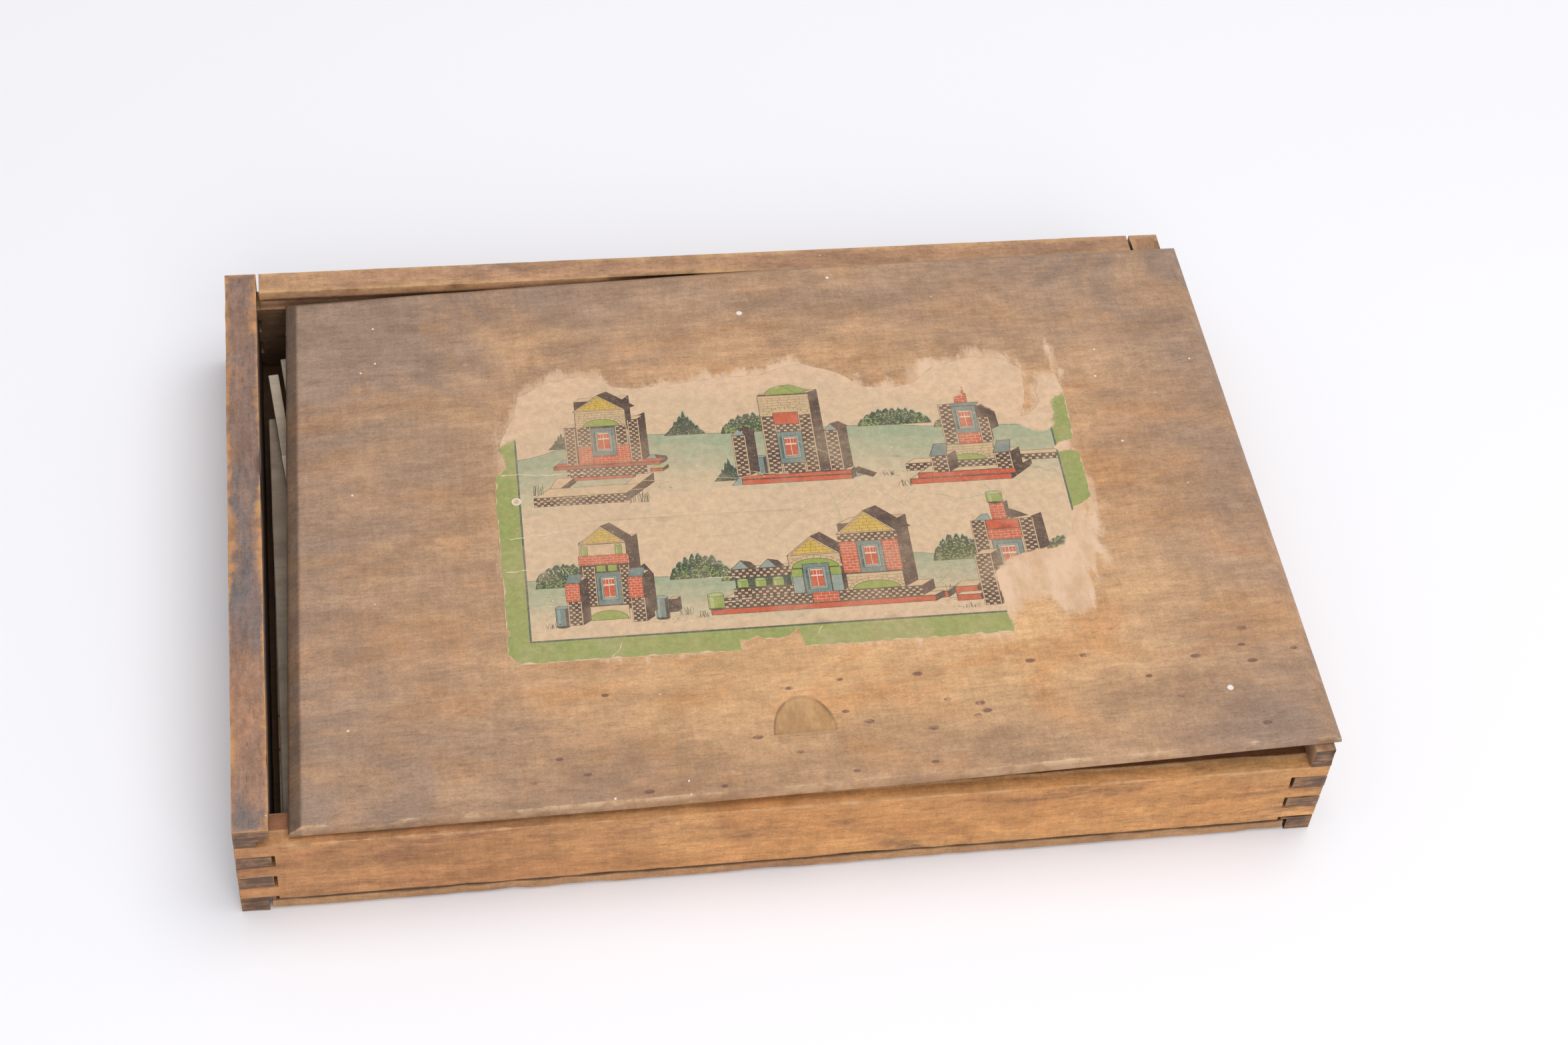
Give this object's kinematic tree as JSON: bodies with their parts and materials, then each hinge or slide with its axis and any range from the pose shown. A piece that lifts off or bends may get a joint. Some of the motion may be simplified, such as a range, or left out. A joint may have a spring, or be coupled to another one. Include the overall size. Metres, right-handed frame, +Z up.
{
  "type": "boxed building puzzle with sliding lid",
  "caption": "Finger-jointed wooden box of flat building puzzle pieces; its bevelled lid with a worn picture label lies crooked on the walls, out of its grooves.",
  "frame": {"origin": "centre of the whole footprint, on the surface that the box stands on", "axes": "+X along the box to the right, +Y from the thumb scoop's side to the back, +Z up"},
  "size_m": [0.3236, 0.2264, 0.0444],
  "materials": {
    "stained_wood": "dark stained softwood, worn bare and orange along its arrises",
    "bottom_wood": "plain board, grey brown underneath",
    "lid_wood": "dark stained board with fine grain, dust specks, dents and worn bright edges",
    "label_paper": "printed paper, browned, cracked and torn",
    "bare_wood": "unpainted thin board, aged grey brown",
    "pale_wood": "unpainted lath, aged pale grey",
    "window_print": "blue grey window frame print, matt",
    "brick_print": "red brick print, matt",
    "stone_print": "cream stone print, matt",
    "green_paint": "green paint, matt and worn",
    "red_paint": "red paint, matt and worn",
    "checker_print": "dark and cream checker print, matt",
    "plaster_print": "yellow plaster print, matt",
    "gable_print": "yellow brick gable print, matt",
    "round_paint": "grey green paint, matt"
  },
  "bodies": {
    "box": {"front_wall": "stained_wood", "back_wall": "stained_wood", "left_wall": "stained_wood", "right_wall": "stained_wood", "bottom_board": "bottom_wood"},
    "lid": {"lid": "lid_wood", "lid_label": "label_paper"},
    "arch_block_1": {"arch_block_1": "stone_print"},
    "arch_block_2": {"arch_block_2": "stone_print"},
    "arch_block_3": {"arch_block_3": "stone_print"},
    "arch_block_4": {"arch_block_4": "stone_print"},
    "arch_filler_1": {"arch_filler_1": "green_paint"},
    "arch_filler_2": {"arch_filler_2": "green_paint"},
    "arch_filler_3": {"arch_filler_3": "green_paint"},
    "arch_filler_4": {"arch_filler_4": "green_paint"},
    "base_plank_1": {"base_plank_1": "red_paint"},
    "base_plank_2": {"base_plank_2": "red_paint"},
    "base_plank_3": {"base_plank_3": "red_paint"},
    "base_plank_4": {"base_plank_4": "red_paint"},
    "base_plank_5": {"base_plank_5": "red_paint"},
    "base_plank_6": {"base_plank_6": "red_paint"},
    "brick_block_1": {"brick_block_1": "brick_print"},
    "brick_block_2": {"brick_block_2": "brick_print"},
    "brick_block_3": {"brick_block_3": "brick_print"},
    "brick_block_4": {"brick_block_4": "brick_print"},
    "brick_block_5": {"brick_block_5": "brick_print"},
    "brick_block_6": {"brick_block_6": "brick_print"},
    "brick_block_7": {"brick_block_7": "brick_print"},
    "gable_block_1": {"gable_block_1": "gable_print"},
    "gable_block_2": {"gable_block_2": "gable_print"},
    "gable_block_3": {"gable_block_3": "gable_print"},
    "gable_block_4": {"gable_block_4": "gable_print"},
    "lath_1": {"lath_1": "pale_wood"},
    "lath_2": {"lath_2": "pale_wood"},
    "lath_3": {"lath_3": "pale_wood"},
    "long_board": {"long_board": "bare_wood"},
    "pillar_block_1": {"pillar_block_1": "checker_print"},
    "pillar_block_2": {"pillar_block_2": "checker_print"},
    "pillar_block_3": {"pillar_block_3": "checker_print"},
    "pillar_block_4": {"pillar_block_4": "checker_print"},
    "pillar_block_5": {"pillar_block_5": "checker_print"},
    "pillar_block_6": {"pillar_block_6": "checker_print"},
    "pillar_block_7": {"pillar_block_7": "checker_print"},
    "pillar_block_8": {"pillar_block_8": "checker_print"},
    "round_block_1": {"round_block_1": "round_paint"},
    "round_block_2": {"round_block_2": "round_paint"},
    "round_block_3": {"round_block_3": "round_paint"},
    "wall_panel_1": {"wall_panel_1": "plaster_print"},
    "wall_panel_2": {"wall_panel_2": "plaster_print"},
    "window_block_1": {"window_block_1": "window_print"},
    "window_block_2": {"window_block_2": "window_print"},
    "window_block_3": {"window_block_3": "window_print"},
    "window_block_4": {"window_block_4": "window_print"},
    "window_block_5": {"window_block_5": "window_print"},
    "window_block_6": {"window_block_6": "window_print"},
    "window_block_7": {"window_block_7": "window_print"}
  },
  "joints": [
    {"name": "lid_lift", "type": "slide", "parent": "box", "child": "lid", "axis": [0, 0, 1], "range_m": [0, 0.16]},
    {"name": "arch_block_1_lift", "type": "slide", "parent": "box", "child": "arch_block_1", "axis": [0, 0, 1], "range_m": [0, 0.057]},
    {"name": "arch_block_2_lift", "type": "slide", "parent": "box", "child": "arch_block_2", "axis": [0, 0, 1], "range_m": [0, 0.057]},
    {"name": "arch_block_3_lift", "type": "slide", "parent": "box", "child": "arch_block_3", "axis": [0, 0, 1], "range_m": [0, 0.057]},
    {"name": "arch_block_4_lift", "type": "slide", "parent": "box", "child": "arch_block_4", "axis": [0, 0, 1], "range_m": [0, 0.057]},
    {"name": "arch_filler_1_lift", "type": "slide", "parent": "box", "child": "arch_filler_1", "axis": [0, 0, 1], "range_m": [0, 0.057]},
    {"name": "arch_filler_2_lift", "type": "slide", "parent": "box", "child": "arch_filler_2", "axis": [0, 0, 1], "range_m": [0, 0.057]},
    {"name": "arch_filler_3_lift", "type": "slide", "parent": "box", "child": "arch_filler_3", "axis": [0, 0, 1], "range_m": [0, 0.057]},
    {"name": "arch_filler_4_lift", "type": "slide", "parent": "box", "child": "arch_filler_4", "axis": [0, 0, 1], "range_m": [0, 0.057]},
    {"name": "base_plank_1_lift", "type": "slide", "parent": "box", "child": "base_plank_1", "axis": [0, 0, 1], "range_m": [0, 0.057]},
    {"name": "base_plank_2_lift", "type": "slide", "parent": "box", "child": "base_plank_2", "axis": [0, 0, 1], "range_m": [0, 0.057]},
    {"name": "base_plank_3_lift", "type": "slide", "parent": "box", "child": "base_plank_3", "axis": [0, 0, 1], "range_m": [0, 0.057]},
    {"name": "base_plank_4_lift", "type": "slide", "parent": "box", "child": "base_plank_4", "axis": [0, 0, 1], "range_m": [0, 0.057]},
    {"name": "base_plank_5_lift", "type": "slide", "parent": "box", "child": "base_plank_5", "axis": [0, 0, 1], "range_m": [0, 0.057]},
    {"name": "base_plank_6_lift", "type": "slide", "parent": "box", "child": "base_plank_6", "axis": [0, 0, 1], "range_m": [0, 0.057]},
    {"name": "brick_block_1_lift", "type": "slide", "parent": "box", "child": "brick_block_1", "axis": [0, 0, 1], "range_m": [0, 0.057]},
    {"name": "brick_block_2_lift", "type": "slide", "parent": "box", "child": "brick_block_2", "axis": [0, 0, 1], "range_m": [0, 0.057]},
    {"name": "brick_block_3_lift", "type": "slide", "parent": "box", "child": "brick_block_3", "axis": [0, 0, 1], "range_m": [0, 0.057]},
    {"name": "brick_block_4_lift", "type": "slide", "parent": "box", "child": "brick_block_4", "axis": [0, 0, 1], "range_m": [0, 0.057]},
    {"name": "brick_block_5_lift", "type": "slide", "parent": "box", "child": "brick_block_5", "axis": [0, 0, 1], "range_m": [0, 0.057]},
    {"name": "brick_block_6_lift", "type": "slide", "parent": "box", "child": "brick_block_6", "axis": [0, 0, 1], "range_m": [0, 0.057]},
    {"name": "brick_block_7_lift", "type": "slide", "parent": "box", "child": "brick_block_7", "axis": [0, 0, 1], "range_m": [0, 0.057]},
    {"name": "gable_block_1_lift", "type": "slide", "parent": "box", "child": "gable_block_1", "axis": [0, 0, 1], "range_m": [0, 0.057]},
    {"name": "gable_block_2_lift", "type": "slide", "parent": "box", "child": "gable_block_2", "axis": [0, 0, 1], "range_m": [0, 0.057]},
    {"name": "gable_block_3_lift", "type": "slide", "parent": "box", "child": "gable_block_3", "axis": [0, 0, 1], "range_m": [0, 0.057]},
    {"name": "gable_block_4_lift", "type": "slide", "parent": "box", "child": "gable_block_4", "axis": [0, 0, 1], "range_m": [0, 0.057]},
    {"name": "lath_1_lift", "type": "slide", "parent": "box", "child": "lath_1", "axis": [0, 0, 1], "range_m": [0, 0.097]},
    {"name": "lath_2_lift", "type": "slide", "parent": "box", "child": "lath_2", "axis": [0, 0, 1], "range_m": [0, 0.097]},
    {"name": "lath_3_lift", "type": "slide", "parent": "box", "child": "lath_3", "axis": [0, 0, 1], "range_m": [0, 0.113]},
    {"name": "long_board_lift", "type": "slide", "parent": "box", "child": "long_board", "axis": [0, 0, 1], "range_m": [0, 0.0778]},
    {"name": "pillar_block_1_lift", "type": "slide", "parent": "box", "child": "pillar_block_1", "axis": [0, 0, 1], "range_m": [0, 0.057]},
    {"name": "pillar_block_2_lift", "type": "slide", "parent": "box", "child": "pillar_block_2", "axis": [0, 0, 1], "range_m": [0, 0.057]},
    {"name": "pillar_block_3_lift", "type": "slide", "parent": "box", "child": "pillar_block_3", "axis": [0, 0, 1], "range_m": [0, 0.057]},
    {"name": "pillar_block_4_lift", "type": "slide", "parent": "box", "child": "pillar_block_4", "axis": [0, 0, 1], "range_m": [0, 0.057]},
    {"name": "pillar_block_5_lift", "type": "slide", "parent": "box", "child": "pillar_block_5", "axis": [0, 0, 1], "range_m": [0, 0.057]},
    {"name": "pillar_block_6_lift", "type": "slide", "parent": "box", "child": "pillar_block_6", "axis": [0, 0, 1], "range_m": [0, 0.057]},
    {"name": "pillar_block_7_lift", "type": "slide", "parent": "box", "child": "pillar_block_7", "axis": [0, 0, 1], "range_m": [0, 0.057]},
    {"name": "pillar_block_8_lift", "type": "slide", "parent": "box", "child": "pillar_block_8", "axis": [0, 0, 1], "range_m": [0, 0.057]},
    {"name": "round_block_1_lift", "type": "slide", "parent": "box", "child": "round_block_1", "axis": [0, 0, 1], "range_m": [0, 0.057]},
    {"name": "round_block_2_lift", "type": "slide", "parent": "box", "child": "round_block_2", "axis": [0, 0, 1], "range_m": [0, 0.057]},
    {"name": "round_block_3_lift", "type": "slide", "parent": "box", "child": "round_block_3", "axis": [0, 0, 1], "range_m": [0, 0.057]},
    {"name": "wall_panel_1_lift", "type": "slide", "parent": "box", "child": "wall_panel_1", "axis": [0, 0, 1], "range_m": [0, 0.057]},
    {"name": "wall_panel_2_lift", "type": "slide", "parent": "box", "child": "wall_panel_2", "axis": [0, 0, 1], "range_m": [0, 0.057]},
    {"name": "window_block_1_lift", "type": "slide", "parent": "box", "child": "window_block_1", "axis": [0, 0, 1], "range_m": [0, 0.057]},
    {"name": "window_block_2_lift", "type": "slide", "parent": "box", "child": "window_block_2", "axis": [0, 0, 1], "range_m": [0, 0.057]},
    {"name": "window_block_3_lift", "type": "slide", "parent": "box", "child": "window_block_3", "axis": [0, 0, 1], "range_m": [0, 0.057]},
    {"name": "window_block_4_lift", "type": "slide", "parent": "box", "child": "window_block_4", "axis": [0, 0, 1], "range_m": [0, 0.057]},
    {"name": "window_block_5_lift", "type": "slide", "parent": "box", "child": "window_block_5", "axis": [0, 0, 1], "range_m": [0, 0.057]},
    {"name": "window_block_6_lift", "type": "slide", "parent": "box", "child": "window_block_6", "axis": [0, 0, 1], "range_m": [0, 0.057]},
    {"name": "window_block_7_lift", "type": "slide", "parent": "box", "child": "window_block_7", "axis": [0, 0, 1], "range_m": [0, 0.057]}
  ],
  "couplings": [
    {"joint": "arch_block_1_lift", "follows": "lid_lift", "ratio": 0.35},
    {"joint": "arch_block_2_lift", "follows": "lid_lift", "ratio": 0.35},
    {"joint": "arch_block_3_lift", "follows": "lid_lift", "ratio": 0.35},
    {"joint": "arch_block_4_lift", "follows": "lid_lift", "ratio": 0.35},
    {"joint": "arch_filler_1_lift", "follows": "lid_lift", "ratio": 0.35},
    {"joint": "arch_filler_2_lift", "follows": "lid_lift", "ratio": 0.35},
    {"joint": "arch_filler_3_lift", "follows": "lid_lift", "ratio": 0.35},
    {"joint": "arch_filler_4_lift", "follows": "lid_lift", "ratio": 0.35},
    {"joint": "base_plank_1_lift", "follows": "lid_lift", "ratio": 0.35},
    {"joint": "base_plank_2_lift", "follows": "lid_lift", "ratio": 0.35},
    {"joint": "base_plank_3_lift", "follows": "lid_lift", "ratio": 0.35},
    {"joint": "base_plank_4_lift", "follows": "lid_lift", "ratio": 0.35},
    {"joint": "base_plank_5_lift", "follows": "lid_lift", "ratio": 0.35},
    {"joint": "base_plank_6_lift", "follows": "lid_lift", "ratio": 0.35},
    {"joint": "brick_block_1_lift", "follows": "lid_lift", "ratio": 0.35},
    {"joint": "brick_block_2_lift", "follows": "lid_lift", "ratio": 0.35},
    {"joint": "brick_block_3_lift", "follows": "lid_lift", "ratio": 0.35},
    {"joint": "brick_block_4_lift", "follows": "lid_lift", "ratio": 0.35},
    {"joint": "brick_block_5_lift", "follows": "lid_lift", "ratio": 0.35},
    {"joint": "brick_block_6_lift", "follows": "lid_lift", "ratio": 0.35},
    {"joint": "brick_block_7_lift", "follows": "lid_lift", "ratio": 0.35},
    {"joint": "gable_block_1_lift", "follows": "lid_lift", "ratio": 0.35},
    {"joint": "gable_block_2_lift", "follows": "lid_lift", "ratio": 0.35},
    {"joint": "gable_block_3_lift", "follows": "lid_lift", "ratio": 0.35},
    {"joint": "gable_block_4_lift", "follows": "lid_lift", "ratio": 0.35},
    {"joint": "lath_1_lift", "follows": "lid_lift", "ratio": 0.6},
    {"joint": "lath_2_lift", "follows": "lid_lift", "ratio": 0.6},
    {"joint": "lath_3_lift", "follows": "lid_lift", "ratio": 0.7},
    {"joint": "long_board_lift", "follows": "lid_lift", "ratio": 0.48},
    {"joint": "pillar_block_1_lift", "follows": "lid_lift", "ratio": 0.35},
    {"joint": "pillar_block_2_lift", "follows": "lid_lift", "ratio": 0.35},
    {"joint": "pillar_block_3_lift", "follows": "lid_lift", "ratio": 0.35},
    {"joint": "pillar_block_4_lift", "follows": "lid_lift", "ratio": 0.35},
    {"joint": "pillar_block_5_lift", "follows": "lid_lift", "ratio": 0.35},
    {"joint": "pillar_block_6_lift", "follows": "lid_lift", "ratio": 0.35},
    {"joint": "pillar_block_7_lift", "follows": "lid_lift", "ratio": 0.35},
    {"joint": "pillar_block_8_lift", "follows": "lid_lift", "ratio": 0.35},
    {"joint": "round_block_1_lift", "follows": "lid_lift", "ratio": 0.35},
    {"joint": "round_block_2_lift", "follows": "lid_lift", "ratio": 0.35},
    {"joint": "round_block_3_lift", "follows": "lid_lift", "ratio": 0.35},
    {"joint": "wall_panel_1_lift", "follows": "lid_lift", "ratio": 0.35},
    {"joint": "wall_panel_2_lift", "follows": "lid_lift", "ratio": 0.35},
    {"joint": "window_block_1_lift", "follows": "lid_lift", "ratio": 0.35},
    {"joint": "window_block_2_lift", "follows": "lid_lift", "ratio": 0.35},
    {"joint": "window_block_3_lift", "follows": "lid_lift", "ratio": 0.35},
    {"joint": "window_block_4_lift", "follows": "lid_lift", "ratio": 0.35},
    {"joint": "window_block_5_lift", "follows": "lid_lift", "ratio": 0.35},
    {"joint": "window_block_6_lift", "follows": "lid_lift", "ratio": 0.35},
    {"joint": "window_block_7_lift", "follows": "lid_lift", "ratio": 0.35}
  ]
}
